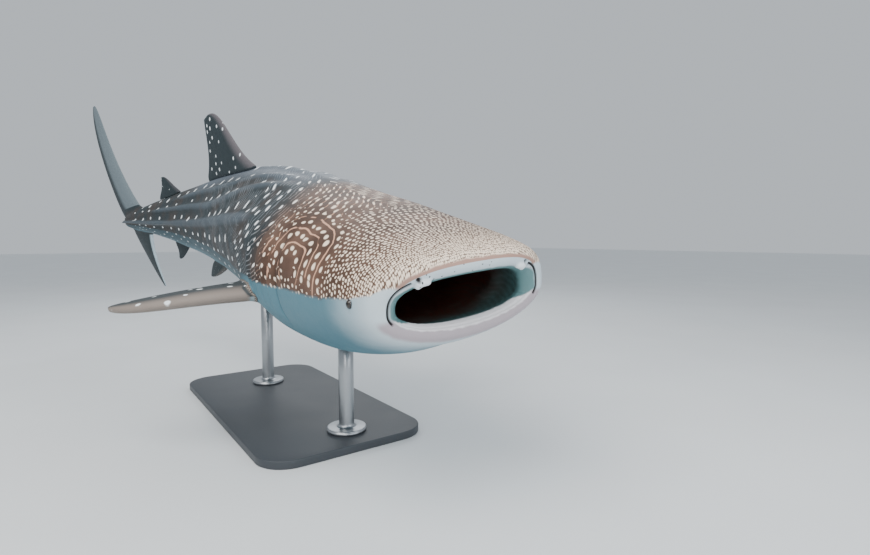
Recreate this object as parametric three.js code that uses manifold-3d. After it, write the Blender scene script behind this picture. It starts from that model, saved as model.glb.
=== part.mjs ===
// A whale shark at life size, swimming with its mouth wide open, held by a plain stand.
// Millimetres, +Z up, head towards +X, origin at the centre of the stand base's underside.
// Along the body, places are given in thousandths of the total length back from the snout.
import * as THREE from 'three';
import { mergeVertices } from 'three/addons/utils/BufferGeometryUtils.js';
import Module from 'manifold-3d';

const wasm = await Module();
wasm.setup();

// Driving dimensions
const totalLength = 8000;
const jointGap = 0.3;
const unit = totalLength / 1000;
const snoutHeight = 1330;
const noseDown = 4.8;
const leftSideUp = 5.9;
const balancePoint = { back: 321, left: -9 };
const tailSwing = 0.355;
const swingStart = 260;
const swingEnd = 680;
const tailTipFlex = 61;

// Materials of the sub-parts: colour, roughness and metalness
const finish = (color, roughness, metalness = 0) =>
  new THREE.MeshStandardMaterial({ color, roughness, metalness });
const finishes = {
  skin: finish(0x5a5f66, 0.55),
  headSkin: finish(0x6b5246, 0.55),
  jawSkin: finish(0xb9c4cc, 0.5),
  finSkin: finish(0x3f4a54, 0.55),
  eye: finish(0x0b0a0a, 0.12),
  steel: finish(0x8e9296, 0.38, 0.85),
  base: finish(0x34373b, 0.6, 0.1),
};

// Small number helpers
const radians = THREE.MathUtils.degToRad;
const smooth = (from, to, x) => THREE.MathUtils.smoothstep(x, from, to);
const mix = THREE.MathUtils.lerp;
const signedPower = (x, power) => Math.sign(x) * Math.abs(x) ** power;
const evenly = (from, to, steps) => Array.from({ length: steps + 1 }, (_, i) => mix(from, to, i / steps));

// The spine runs straight to swingStart and then swings to the shark's right. Its heading grows
// smoothly, and its course is the running sum of small steps along that heading.
const heading = (back) => tailSwing * smooth(swingStart, swingEnd, back);
const spineReach = 1100;
const spineCourse = [[0, 0]];
for (let back = 1; back <= spineReach; back += 1) {
  const [x, y] = spineCourse[back - 1];
  const angle = heading(back - 0.5);
  spineCourse.push([x - Math.cos(angle), y - Math.sin(angle)]);
}

// A place given by its distance back, out to the left and up becomes a point in millimetres
function onSpine(back, left, up) {
  const step = Math.min(Math.max(Math.floor(back), 0), spineCourse.length - 2);
  const share = back - step;
  const x = mix(spineCourse[step][0], spineCourse[step + 1][0], share);
  const y = mix(spineCourse[step][1], spineCourse[step + 1][1], share);
  const angle = heading(back);
  return new THREE.Vector3(x - Math.sin(angle) * left, y + Math.cos(angle) * left, up).multiplyScalar(unit);
}

// Cross-sections, from the closed end of the throat out through the mouth and back to the tail.
// Each has its distance back at the top, side and bottom, its half width, its height at the top,
// side and bottom, and the power that squares or sharpens its upper and lower quarters.
const throatSections = [
  [190, 190, 190, 0, -14, -14, -14, 1, 1],
  [187, 187, 187, 22, -4, -14, -25, 1, 1],
  [165, 165, 165, 46, 6, -15, -38, 0.95, 1],
  [115, 110, 115, 60, 10, -16, -43, 0.9, 1],
  [60, 54, 62, 61, 9, -16, -40, 0.85, 0.95],
  [24, 31, 36, 57, 5.5, -16, -35, 0.8, 0.92],
  [9, 21, 22, 53.5, 3, -15.5, -31, 0.78, 0.92],
];
const lipSections = [
  [3, 15, 14.5, 57, 5, -15.5, -32, 0.75, 0.96],
  [0, 12, 11, 62.5, 9, -15.5, -35.5, 0.72, 1],
  [1.5, 13, 13, 69, 14, -15.5, -41, 0.72, 1.02],
  [9, 19, 23, 75, 20.5, -15.5, -47, 0.74, 1.02],
];
const trunkSections = [
  [30, 38, 42, 78.5, 27, -15, -54.5, 0.8, 1],
  [60, 67, 66, 82, 33, -13, -65, 0.85, 0.97],
  [95, 97, 96, 85, 40, -12, -73, 0.9, 0.93],
  [130, 130, 130, 87.5, 46.5, -11, -78.5, 0.92, 0.93],
  [170, 170, 170, 88, 53.5, -10, -82, 0.95, 0.93],
  [210, 210, 210, 86, 61, -9, -82, 0.97, 0.93],
  [260, 260, 260, 82, 69, -8, -78.5, 1, 0.95],
  [320, 320, 320, 76, 75.5, -6, -71.5, 1, 1],
  [400, 400, 400, 67, 77.5, -3, -63, 1.05, 1],
  [480, 480, 480, 56, 73, 0, -52.5, 1.1, 1],
  [560, 560, 560, 44, 62, 2, -40.5, 1.1, 1],
  [640, 640, 640, 32.5, 47.5, 3, -28, 1.1, 1],
  [700, 700, 700, 25, 36, 3, -19, 1.05, 1],
  [745, 745, 745, 19, 26, 3, -14, 1, 1],
  [780, 780, 780, 14, 20, 2, -12, 1, 1],
  [803, 803, 803, 8, 15, 1, -9, 1, 1],
  [812, 812, 812, 0, 4, 1, -2, 1, 1],
];
const sections = [...throatSections, ...lipSections, ...trunkSections];
const lipEdge = throatSections.length + 1;
const skinStart = lipEdge + 2;
const lastSection = sections.length - 1;

// A smooth run through the sections: each pair is joined by a cubic whose slopes follow the neighbours
function sectionAt(place) {
  const first = Math.min(Math.max(Math.floor(place), 0), lastSection - 1);
  const t = place - first;
  const slope = (i, k) => {
    const before = Math.max(i - 1, 0);
    const after = Math.min(i + 1, lastSection);
    return (sections[after][k] - sections[before][k]) / (after - before);
  };
  const value = (k) => (2 * t ** 3 - 3 * t ** 2 + 1) * sections[first][k]
    + (t ** 3 - 2 * t ** 2 + t) * slope(first, k)
    + (3 * t ** 2 - 2 * t ** 3) * sections[first + 1][k]
    + (t ** 3 - t ** 2) * slope(first + 1, k);
  const [topBack, sideBack, bottomBack, halfWidth, top, side, bottom, squareTop, squareBottom] =
    sections[0].map((_, k) => value(k));
  return { topBack, sideBack, bottomBack, halfWidth, top, side, bottom, squareTop, squareBottom };
}

// The place along the run of sections whose side lies a given distance back on the outer skin
function placeAt(back) {
  let low = skinStart - 1;
  let high = lastSection;
  while (high - low > 1e-6) {
    const middle = (low + high) / 2;
    if (sectionAt(middle).sideBack < back) low = middle;
    else high = middle;
  }
  return low;
}

// Long ridges along the back and flanks: the course of each as pairs of distance back and angle from the top,
// where it rises and fades, height and half width. The lowest grows into the keel of the tail stalk.
const ridges = [
  { course: [[140, 0], [800, 0]], rise: [205, 260], fade: [400, 440], height: 3.2, spread: 5 },
  { course: [[140, 29], [230, 11], [283, 18], [351, 31], [400, 38], [455, 42], [700, 42], [790, 29]],
    rise: [215, 290], fade: [560, 650], height: 3.4, spread: 4.6 },
  { course: [[140, 53], [230, 23], [283, 33], [351, 48], [400, 55], [455, 60], [700, 60], [790, 53]],
    rise: [205, 280], fade: [640, 720], height: 3.6, spread: 4.6 },
  { course: [[140, 84], [230, 56], [310, 66], [402, 73], [524, 80], [609, 84], [700, 88], [780, 90], [800, 84]],
    rise: [200, 280], fade: [768, 808], height: 4.2, spread: 5, keel: 1.9 },
];

// A value read between the points of a list of pairs, and held level past its ends
function alongCourse(course, x) {
  const [last] = course.slice(-1);
  const after = course.findIndex(([stop]) => x < stop);
  if (after < 0) return last[1];
  if (after === 0) return course[0][1];
  const [[fromX, fromY], [toX, toY]] = course.slice(after - 1, after + 1);
  return mix(fromY, toY, (x - fromX) / (toX - fromX));
}

function ridgeLift(back, angle) {
  return ridges.reduce((sum, ridge) => {
    const shown = smooth(...ridge.rise, back) * (1 - smooth(...ridge.fade, back));
    const growth = 1 + (ridge.keel ?? 0) * smooth(600, 760, back);
    const away = (angle - alongCourse(ridge.course, back)) / ridge.spread;
    return sum + ridge.height * growth * shown * Math.exp(-(away ** 2));
  }, 0);
}

// Gill flaps: each rises backwards from its groove to a crest, and drops to the next groove
const gills = { count: 5, start: 136, pitch: 14, crest: 2.6, groove: 2.2, cleft: 1.4, from: [54, 66], to: [108, 122] };
const gillsEnd = gills.start + gills.count * gills.pitch;

function gillLift(back, angle) {
  const along = (back - gills.start) / gills.pitch;
  if (along <= 0 || along >= gills.count) return 0;
  const share = along - Math.floor(along);
  const open = smooth(...gills.from, angle) * (1 - smooth(...gills.to, angle));
  const cleft = gills.cleft / gills.pitch;
  const rise = share < cleft ? -gills.groove : mix(-gills.groove * 0.4, gills.crest, (share - cleft) / (1 - cleft));
  return open * rise;
}

// Gill arches: low folds across the walls of the throat
const arches = { places: [2.4, 3.2, 4.0], height: 3.4, spread: 0.2, from: [20, 34], to: [120, 136] };

function archLift(place, angle) {
  const open = smooth(...arches.from, angle) * (1 - smooth(...arches.to, angle));
  return -arches.height * open * arches.places.reduce(
    (sum, middle) => sum + Math.exp(-(((place - middle) / arches.spread) ** 2)), 0);
}

// A point of the skin: a superellipse through the section's top, side and bottom, leaning with its
// distances back, lifted by ridges, gill flaps and arches. The angle runs from the top to the right.
function skinPoint(place, angle) {
  const section = sectionAt(place);
  const across = Math.sin(radians(angle));
  const upward = Math.cos(radians(angle));
  const upper = upward > 0;
  const endBack = upper ? section.topBack : section.bottomBack;
  const back = section.sideBack + (endBack - section.sideBack) * upward ** 2;
  const power = upper ? section.squareTop : section.squareBottom;
  const reach = upper ? section.top - section.side : section.side - section.bottom;
  let right = section.halfWidth * signedPower(across, power);
  let above = reach * signedPower(upward, power);
  const fold = Math.abs(((angle + 540) % 360) - 180);
  const outside = smooth(skinStart, skinStart + 2, place);
  const lift = outside * (ridgeLift(back, fold) + gillLift(back, fold)) + archLift(place, fold) * (place < lipEdge);
  const length = Math.hypot(right, above) || 1;
  right += lift * right / length;
  above += lift * above / length;
  return onSpine(back, -right, section.side + above);
}

// The way out of the skin at a point, from two small steps along and round the body
function skinNormal(place, angle) {
  const along = skinPoint(place + 0.02, angle).sub(skinPoint(place - 0.02, angle));
  const round = skinPoint(place, angle + 0.5).sub(skinPoint(place, angle - 0.5));
  return along.cross(round).normalize();
}

// Closed bodies. Corners that coincide are merged, collapsed triangles dropped, and the faces turned out.
function solidFrom({ points, triangles }, grow = 0) {
  const loose = new THREE.BufferGeometry();
  loose.setAttribute('position', new THREE.Float32BufferAttribute(points.flatMap((p) => p.toArray()), 3));
  loose.setIndex(triangles.flat());
  return solidOf(loose, grow);
}

function solidOf(geometry, grow = 0) {
  const bare = new THREE.BufferGeometry();
  bare.setAttribute('position', geometry.getAttribute('position').clone());
  bare.setIndex(geometry.index ? [...geometry.index.array] : null);
  const merged = mergeVertices(bare, 0.01);
  const corners = merged.getAttribute('position');
  const faces = [];
  for (let i = 0; i < merged.index.count; i += 3) {
    const [a, b, c] = [merged.index.getX(i), merged.index.getX(i + 1), merged.index.getX(i + 2)];
    if (a !== b && b !== c && c !== a) faces.push([a, b, c]);
  }
  const corner = (i) => new THREE.Vector3().fromBufferAttribute(corners, i);
  const volume = faces.reduce((sum, [a, b, c]) => sum + corner(a).dot(corner(b).cross(corner(c))), 0);
  const outward = volume > 0 ? faces : faces.map(([a, b, c]) => [a, c, b]);
  merged.setIndex(outward.flat());
  if (grow) {
    merged.computeVertexNormals();
    const normals = merged.getAttribute('normal');
    for (let i = 0; i < corners.count; i += 1) {
      const moved = corner(i).addScaledVector(new THREE.Vector3().fromBufferAttribute(normals, i), grow);
      corners.setXYZ(i, ...moved);
    }
  }
  const mesh = new wasm.Mesh({
    numProp: 3,
    vertProperties: new Float32Array(corners.array),
    triVerts: new Uint32Array(merged.index.array),
  });
  return new wasm.Manifold(mesh);
}

// Each node keeps its largest closed surface
const largest = (solid) => solid.decompose().sort((a, b) => b.volume() - a.volume())[0];

function meshOf(name, solid, material) {
  const cut = largest(solid).getMesh();
  const geometry = new THREE.BufferGeometry();
  geometry.setAttribute('position', new THREE.Float32BufferAttribute(cut.vertProperties, 3));
  geometry.setIndex([...cut.triVerts]);
  const mesh = new THREE.Mesh(geometry, material);
  mesh.name = name;
  return mesh;
}

const placed = (geometry, position, quaternion = new THREE.Quaternion()) =>
  geometry.applyQuaternion(quaternion).translate(...position);
const turnedTo = (axis, direction) => new THREE.Quaternion().setFromUnitVectors(axis, direction);
const forward = new THREE.Vector3(1, 0, 0);
const outwards = new THREE.Vector3(0, 0, 1);

// The body: one closed surface of rows along the sections and columns round them. Columns stand close
// together on the ridges and turn with them, and rows stand close together on the gills.
const headAngles = [0, 10, 21, 29, 37, 46, 53, 60, 70, 78, 84, 90, 99, 110, 124, 141, 160];

function bodyColumns(back) {
  const turned = [...ridges.map(({ course }) => [course[0][1], alongCourse(course, back)]), [180, 180]];
  const half = headAngles.map((angle) => alongCourse(turned, angle));
  return [...half, 180, ...half.slice(1).reverse().map((angle) => 360 - angle)];
}

function bodyRows() {
  const throat = [0, 0.5, 1, 1.6, ...arches.places.flatMap((middle) => [middle, middle + 0.4]), 5.2, 6];
  const lips = evenly(6.8, skinStart + 1, 8);
  const cheeks = [48, 67, 82, 97, 115].map(placeAt);
  const flaps = evenly(0, gills.count - 1, gills.count - 1).flatMap((k) => {
    const groove = gills.start + k * gills.pitch;
    return [groove + 0.2, groove + gills.cleft, groove + gills.pitch - 0.2];
  });
  const flank = [228, 250, 275, 305, 340, 380, 420, 460, 500, 540, 580, 620, 660, 700, 725, 745, 765, 783, 795, 804];
  return [...throat, ...lips, ...cheeks, ...[128, ...flaps, gillsEnd + 5, ...flank].map(placeAt), lastSection];
}

function bodyGrid() {
  const rows = bodyRows();
  const points = rows.flatMap((place) => {
    const back = place > skinStart ? sectionAt(place).sideBack : 0;
    return bodyColumns(back).map((angle) => skinPoint(place, angle));
  });
  const width = points.length / rows.length;
  const triangles = [];
  for (let i = 0; i < rows.length - 1; i += 1) {
    for (let j = 0; j < width; j += 1) {
      const [a, b] = [i * width + j, i * width + (j + 1) % width];
      const [c, d] = [a + width, b + width];
      triangles.push([a, c, b], [b, c, d]);
    }
  }
  return { points, triangles };
}

// Eyes: a globe sunk in the side of the head, in a socket with a soft raised rim
const eye = { place: 10.78, angle: 85, radius: 27, sunk: 14, rim: 6.5, rimRadius: 27 };

function eyeSeat(side) {
  const angle = side * eye.angle;
  const normal = skinNormal(eye.place, angle);
  const surface = skinPoint(eye.place, angle);
  return { normal, surface, centre: surface.clone().addScaledVector(normal, -eye.sunk) };
}

const eyeGlobe = (side, grow = 0) =>
  solidOf(placed(new THREE.SphereGeometry(eye.radius + grow, 12, 8), eyeSeat(side).centre));

function eyeRim(side) {
  const { normal, surface } = eyeSeat(side);
  const ring = new THREE.TorusGeometry(eye.rimRadius, eye.rim, 5, 14);
  return solidOf(placed(ring, surface.addScaledVector(normal, -eye.rim * 0.4), turnedTo(outwards, normal)));
}

// A round-ended hollow or bump on the skin, longest across the lip
function bead(place, angle, size, depth) {
  const normal = skinNormal(place, angle);
  const shape = new THREE.SphereGeometry(1, 8, 6).scale(...size);
  return solidOf(placed(shape, skinPoint(place, angle).addScaledVector(normal, -depth), turnedTo(forward, normal)));
}

// Nostrils open above the lip's edge, each with a flap that hangs into the mouth, and a small
// breathing hole lies behind each eye
const nostril = { place: 8.0, angle: 39, size: [20, 17, 13], depth: 3 };
const flap = { place: 7.25, angle: 41, size: [26, 20, 12], depth: -4 };
const spiracle = { place: 11.64, angle: 85, size: [12, 11, 8], depth: 2 };

// A furrow runs round each corner of the mouth, from the nostril to below the corner
const furrow = { places: [7.95, 8.05, 8.1, 8.1, 8.05], angles: [47, 60, 75, 90, 106], radius: 6, depth: 1 };

function furrowTube(side) {
  const stops = furrow.angles.map((angle, i) => {
    const normal = skinNormal(furrow.places[i], side * angle);
    return skinPoint(furrow.places[i], side * angle).addScaledVector(normal, -furrow.depth);
  });
  const outline = new THREE.Shape().absarc(0, 0, furrow.radius, 0, 2 * Math.PI);
  const path = new THREE.CatmullRomCurve3(stops);
  return solidOf(new THREE.ExtrudeGeometry(outline, { steps: 12, curveSegments: 3, extrudePath: path }));
}

function finishedBody() {
  let body = solidFrom(bodyGrid());
  for (const side of [1, -1]) {
    body = body.add(eyeRim(side)).subtract(eyeGlobe(side, jointGap));
    body = body.subtract(furrowTube(side));
    body = body.add(bead(flap.place, side * flap.angle, flap.size, flap.depth));
    body = body.subtract(bead(nostril.place, side * nostril.angle, nostril.size, nostril.depth));
    body = body.subtract(bead(spiracle.place, side * spiracle.angle, spiracle.size, spiracle.depth));
  }
  return body;
}

// Thin cuts that part the body: flat slabs across the spine, and the jaw's cut through the mouth corners
const cuts = { head: 132, gills: 210, trunk: 400, stalk: 600 };
const jaw = { back: 92, height: -15.4, ahead: 20 };
const slabSize = { width: 400, top: 160, bottom: -160 };

function slabAcross(back, top = slabSize.top) {
  const { width, bottom } = slabSize;
  const slab = new THREE.BoxGeometry(jointGap, width * unit, (top - bottom) * unit);
  slab.translate(0, 0, (top + bottom) / 2 * unit).rotateZ(heading(back));
  const { x, y } = onSpine(back, 0, 0);
  return solidOf(slab.translate(x, y, 0));
}

function jawCut() {
  const length = (jaw.back + jaw.ahead) * unit;
  const flat = new THREE.BoxGeometry(length + jointGap, slabSize.width * unit, jointGap);
  flat.translate(jaw.ahead * unit - length / 2, 0, jaw.height * unit);
  return solidOf(flat).add(slabAcross(jaw.back, jaw.height));
}

function bodyParts(body) {
  const slabs = Object.values(cuts).map((back) => slabAcross(back));
  const pieces = [jawCut(), ...slabs].reduce((rest, slab) => rest.subtract(slab), body).decompose();
  const middle = (piece) => {
    const box = piece.boundingBox();
    return (box.min[0] + box.max[0]) / 2;
  };
  const bySize = pieces.sort((a, b) => b.volume() - a.volume());
  const kept = bySize.slice(0, slabs.length + 2).sort((a, b) => middle(b) - middle(a));
  const [jawPiece, headPiece] = kept.slice(0, 2).sort((a, b) => a.boundingBox().max[2] - b.boundingBox().max[2]);
  return { jawPiece, headPiece, gillPiece: kept[2], frontPiece: kept[3], rearPiece: kept[4], stalkPiece: kept[5] };
}

// A fin: its leading and trailing edges are smooth curves through control points, as distances along
// the body and out along the fin. Each section between them is a streamlined wedge, thickest near the front.
function bezier(points, t) {
  const [point] = points.slice(1).reduce(
    (row) => row.slice(1).map((p, i) => p.map((value, k) => mix(row[i][k], value, t))), points);
  return point;
}

const wedgePower = 0.9;
const thickestAt = 0.5 / (0.5 + wedgePower);
const bareWedge = (u) => Math.sqrt(u) * (1 - u) ** wedgePower;
const wedge = (u) => bareWedge(u) / bareWedge(thickestAt);

function finSolid(fin, place, grow = 0) {
  const { lead, trail, halfThickness, tipThickness = 0.5, taper = 0.7, spanSteps = 10, chordSteps = 7 } = fin;
  const chord = evenly(0, 1, chordSteps).map((u) => 0.5 - 0.5 * Math.cos(Math.PI * u));
  const points = [];
  for (const out of evenly(0, 1, spanSteps)) {
    const front = bezier(lead, out);
    const rear = bezier(trail, out);
    const thickness = halfThickness * (1 - out) ** taper + tipThickness;
    for (const face of [1, -1]) {
      for (const u of chord) {
        points.push(place(mix(front[0], rear[0], u), mix(front[1], rear[1], u), face * thickness * wedge(u)));
      }
    }
  }
  const width = chordSteps + 1;
  const index = (row, face, k) => (2 * row + face) * width + k;
  const triangles = [];
  for (let row = 0; row < spanSteps; row += 1) {
    for (let k = 0; k < chordSteps; k += 1) {
      const [a, b, c, d] = [index(row, 0, k), index(row, 0, k + 1), index(row + 1, 0, k), index(row + 1, 0, k + 1)];
      const [e, f, g, h] = [a + width, b + width, c + width, d + width];
      triangles.push([a, b, d], [a, d, c], [e, h, f], [e, g, h]);
    }
  }
  for (let k = 0; k < chordSteps; k += 1) {
    const [a, b, c, d] = [index(0, 0, k), index(0, 0, k + 1), index(0, 1, k), index(0, 1, k + 1)];
    const [e, f, g, h] = [a, b, c, d].map((corner) => corner + 2 * width * spanSteps);
    triangles.push([a, d, b], [a, c, d], [e, f, h], [e, h, g]);
  }
  return solidFrom({ points, triangles }, grow);
}

// Upright fins stand on the body's top or bottom line at their foot
const topAt = (back) => sectionAt(placeAt(back)).top;
const bottomAt = (back) => sectionAt(placeAt(back)).bottom;
const upright = (foot) => (back, out, side) => onSpine(back, side, foot + out);

const firstDorsal = {
  lead: [[350, 2], [412, 12], [452, 8], [486, 60], [501, 94], [535, 86]],
  trail: [[562, -16], [562, -2], [537, 16], [548, 50], [548, 80]],
  halfThickness: 5.5,
  taper: 0.6,
  spanSteps: 11,
};
const secondDorsal = {
  lead: [[598, 0], [636, 6], [652, 14], [664, 31], [679, 31]],
  trail: [[701, -10], [699, 2], [683, 8], [685, 22], [685, 30]],
  halfThickness: 2.6,
  taper: 0.6,
  spanSteps: 7,
};
const analOutline = {
  lead: [[606, 10], [628, -8], [640, -20], [652, -31], [660, -30]],
  trail: [[670, 10], [674, -6], [658, -12], [662, -22], [663, -28]],
  halfThickness: 2.4,
  taper: 0.6,
  spanSteps: 7,
};

// The tail fin's two lobes lean to the left towards their tips, as the stroke of the tail bends them
const upperLobe = {
  lead: [[735, 6], [770, 24], [850, 105], [918, 165], [996, 216], [1003, 214]],
  trail: [[802, -8], [836, 22], [862, 80], [940, 140], [985, 185], [1006, 211]],
  halfThickness: 6.5,
  taper: 0.8,
  spanSteps: 14,
  reach: 210,
  bend: 1.8,
};
const lowerLobe = {
  lead: [[728, -2], [764, -40], [794, -84], [826, -128], [831, -129]],
  trail: [[798, 2], [800, -22], [802, -66], [828, -105], [834, -127]],
  halfThickness: 4.8,
  taper: 0.8,
  spanSteps: 10,
  reach: 128,
  bend: 1.3,
};
const flexed = (lobe) => (back, out, side) =>
  onSpine(back, side + tailTipFlex * (Math.abs(out) / lobe.reach) ** lobe.bend, out);

// Paired fins slant outwards from a root inside the body, given as shares of the section there
const pectoral = {
  root: { back: 198, outShare: 0.855, downShare: 0.3 },
  tip: { back: 256, left: 190, up: -42 },
  sag: 3,
  lead: [[-12, -0.12], [0, 0.15], [-14, 0.55], [-14, 0.88], [20, 1], [30, 1]],
  trail: [[76, -0.12], [50, 0.15], [34, 0.55], [44, 0.8], [46, 0.97], [32, 1]],
  halfThickness: 8,
  tipThickness: 0.8,
  taper: 0.6,
  spanSteps: 12,
};
const pelvic = {
  root: { back: 456, outShare: 0.55, downShare: 0.82 },
  tip: { back: 464, left: 37, up: -62 },
  sag: 0,
  lead: [[-6, -0.3], [6, 0.3], [16, 0.8], [30, 1], [36, 1]],
  trail: [[50, -0.3], [50, 0.3], [44, 0.7], [44, 0.95], [40, 1]],
  halfThickness: 2.6,
  spanSteps: 7,
};

function slanted({ root, tip, sag }, side) {
  const section = sectionAt(placeAt(root.back));
  const rootLeft = section.halfWidth * root.outShare;
  const rootUp = section.side - (section.side - section.bottom) * root.downShare;
  const [acrossSpan, downSpan] = [tip.left - rootLeft, tip.up - rootUp];
  const span = Math.hypot(acrossSpan, downSpan);
  return (back, out, thickness) => onSpine(
    root.back + (tip.back - root.back) * out + back,
    side * (rootLeft + acrossSpan * out - downSpan / span * thickness),
    rootUp + downSpan * out + acrossSpan / span * thickness
      + sag * Math.sin(Math.PI * Math.min(Math.max(out, 0), 1)),
  );
}

// The shark stands in its own group, turned and raised as it swims. The stand is upright beneath it.
const shark = new THREE.Group();
const tilt = new THREE.Matrix4().makeRotationY(radians(noseDown))
  .multiply(new THREE.Matrix4().makeRotationX(radians(leftSideUp)));
const balance = onSpine(balancePoint.back, balancePoint.left, 0).applyMatrix4(tilt);
shark.quaternion.setFromRotationMatrix(tilt);
shark.position.set(-balance.x, -balance.y, snoutHeight);
shark.updateMatrixWorld();

const grownBody = solidFrom(bodyGrid(), jointGap);
const offTheBody = (solid) => largest(solid.subtract(grownBody));

const parts = bodyParts(finishedBody());
shark.add(
  meshOf('head', parts.headPiece, finishes.headSkin),
  meshOf('lower_jaw', parts.jawPiece, finishes.jawSkin),
  meshOf('gill_section', parts.gillPiece, finishes.headSkin),
  meshOf('trunk_front', parts.frontPiece, finishes.skin),
  meshOf('trunk_rear', parts.rearPiece, finishes.skin),
  meshOf('tail_stalk', parts.stalkPiece, finishes.skin),
);

const upperSolid = offTheBody(finSolid(upperLobe, flexed(upperLobe)));
const upperGrown = finSolid(upperLobe, flexed(upperLobe), jointGap);
const fins = {
  dorsal_fin_first: finSolid(firstDorsal, upright(topAt(520))),
  dorsal_fin_second: finSolid(secondDorsal, upright(topAt(667))),
  anal_fin: finSolid(analOutline, upright(bottomAt(662))),
  caudal_fin_upper: upperSolid,
  caudal_fin_lower: finSolid(lowerLobe, flexed(lowerLobe)).subtract(upperGrown),
};
for (const [name, side] of [['left', 1], ['right', -1]]) {
  fins[`pectoral_fin_${name}`] = finSolid(pectoral, slanted(pectoral, side));
  fins[`pelvic_fin_${name}`] = finSolid(pelvic, slanted(pelvic, side));
}
for (const [name, solid] of Object.entries(fins)) {
  shark.add(meshOf(name, offTheBody(solid), finishes.finSkin));
}
shark.add(meshOf('eye_left', eyeGlobe(-1), finishes.eye), meshOf('eye_right', eyeGlobe(1), finishes.eye));

// The stand: a rounded plate with two turned rods, whose tops follow the belly
const stand = { length: 2600, width: 1300, thick: 60, corner: 240, bevel: 8 };
const rod = { radius: 58, foot: 150, footHeight: 34, fillet: 26 };
const rodPlaces = { front: 196, rear: 410 };

function standBase() {
  const [halfLength, halfWidth, round] = [stand.length / 2 - stand.bevel, stand.width / 2 - stand.bevel, stand.corner];
  const outline = new THREE.Shape();
  outline.moveTo(-halfLength + round, -halfWidth);
  outline.lineTo(halfLength - round, -halfWidth);
  outline.absarc(halfLength - round, -halfWidth + round, round, -Math.PI / 2, 0);
  outline.lineTo(halfLength, halfWidth - round);
  outline.absarc(halfLength - round, halfWidth - round, round, 0, Math.PI / 2);
  outline.lineTo(-halfLength + round, halfWidth);
  outline.absarc(-halfLength + round, halfWidth - round, round, Math.PI / 2, Math.PI);
  outline.lineTo(-halfLength, -halfWidth + round);
  outline.absarc(-halfLength + round, -halfWidth + round, round, Math.PI, 1.5 * Math.PI);
  const plate = new THREE.ExtrudeGeometry(outline, {
    depth: stand.thick - 2 * stand.bevel,
    curveSegments: 6,
    bevelThickness: stand.bevel,
    bevelSize: stand.bevel,
    bevelSegments: 1,
  });
  return solidOf(plate.translate(0, 0, stand.bevel));
}

function standRod(back) {
  const top = snoutHeight;
  const bottom = stand.thick + jointGap;
  const profile = [
    [0, bottom], [rod.foot, bottom], [rod.foot, bottom + rod.footHeight * 0.7],
    [rod.foot - 10, bottom + rod.footHeight], [rod.radius + rod.fillet, bottom + rod.footHeight],
    [rod.radius + rod.fillet * 0.3, bottom + rod.footHeight + rod.fillet * 0.35],
    [rod.radius, bottom + rod.footHeight + rod.fillet], [rod.radius, top], [0, top],
  ].map(([x, y]) => new THREE.Vector2(x, y));
  const turned = new THREE.LatheGeometry(profile, 20).rotateX(Math.PI / 2);
  const { x, y } = onSpine(back, 0, 0).applyMatrix4(shark.matrixWorld);
  const lowered = grownBody.transform([...shark.matrixWorld.elements]);
  const cut = solidOf(turned.translate(x, y, 0)).subtract(lowered).decompose();
  return cut.sort((a, b) => a.boundingBox().min[2] - b.boundingBox().min[2])[0];
}

const display = new THREE.Group();
display.add(
  shark,
  meshOf('stand_base', standBase(), finishes.base),
  meshOf('stand_rod_front', standRod(rodPlaces.front), finishes.steel),
  meshOf('stand_rod_rear', standRod(rodPlaces.rear), finishes.steel),
);

export default display;
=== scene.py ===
# A whale shark at life size, swimming with its mouth wide open, held by a plain display stand.
# Metres, head towards +X, the shark's left towards +Y. Places along the body are in mils, thousandths of
# the total length back from the snout, and angles run from the top of the body down its right side.
import math

import bpy
import numpy as np
from mathutils import Matrix, Vector


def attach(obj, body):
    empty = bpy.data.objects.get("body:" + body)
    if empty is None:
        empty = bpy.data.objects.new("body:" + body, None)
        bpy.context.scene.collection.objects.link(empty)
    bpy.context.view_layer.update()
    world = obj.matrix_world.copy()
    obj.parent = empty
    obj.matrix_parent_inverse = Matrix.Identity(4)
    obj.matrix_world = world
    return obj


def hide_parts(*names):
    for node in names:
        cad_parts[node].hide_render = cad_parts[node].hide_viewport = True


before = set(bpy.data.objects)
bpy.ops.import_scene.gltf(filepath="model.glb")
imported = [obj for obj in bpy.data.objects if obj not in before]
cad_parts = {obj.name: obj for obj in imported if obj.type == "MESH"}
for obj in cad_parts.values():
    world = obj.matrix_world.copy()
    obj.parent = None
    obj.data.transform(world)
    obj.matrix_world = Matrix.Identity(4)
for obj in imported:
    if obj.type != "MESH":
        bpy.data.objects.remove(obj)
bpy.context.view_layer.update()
print("frame loaded")

plan = {
    "length": 8.0, "snoutHeight": 1.33, "noseDown": 4.8, "leftSideUp": 5.9,
    "balanceBack": 321, "balanceLeft": -9, "tailSwing": 0.355, "swing": (260, 680), "tipFlex": 61,
}
mil = plan["length"] / 1000


# Cubic step from 0 at low to 1 at high
def smooth(low, high, x):
    share = np.clip((x - low) / (high - low), 0, 1)
    return share * share * (3 - 2 * share)


# A bell of height 1 round the middle, e to the minus square of the distance in spreads
def bell(x, middle, spread):
    return np.exp(-((x - middle) / spread) ** 2)


# The spine's turn to the right: none at the head, the whole swing at the tail
def heading(back):
    return plan["tailSwing"] * smooth(*plan["swing"], back)


# The spine's course is the running sum of steps of one mil along its heading
spineBack = np.arange(1101.0)
spineX = -np.concatenate([[0], np.cumsum(np.cos(heading(spineBack[1:] - 0.5)))])
spineY = -np.concatenate([[0], np.cumsum(np.sin(heading(spineBack[1:] - 0.5)))])


# Distance back, out to the left and up become x, y, z along the bent spine, still in mils
def onSpine(back, left, up):
    turn = heading(back)
    x = np.interp(back, spineBack, spineX) - np.sin(turn) * left
    y = np.interp(back, spineBack, spineY) + np.cos(turn) * left
    return np.stack(np.broadcast_arrays(x, y, up), axis=-1)


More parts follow.
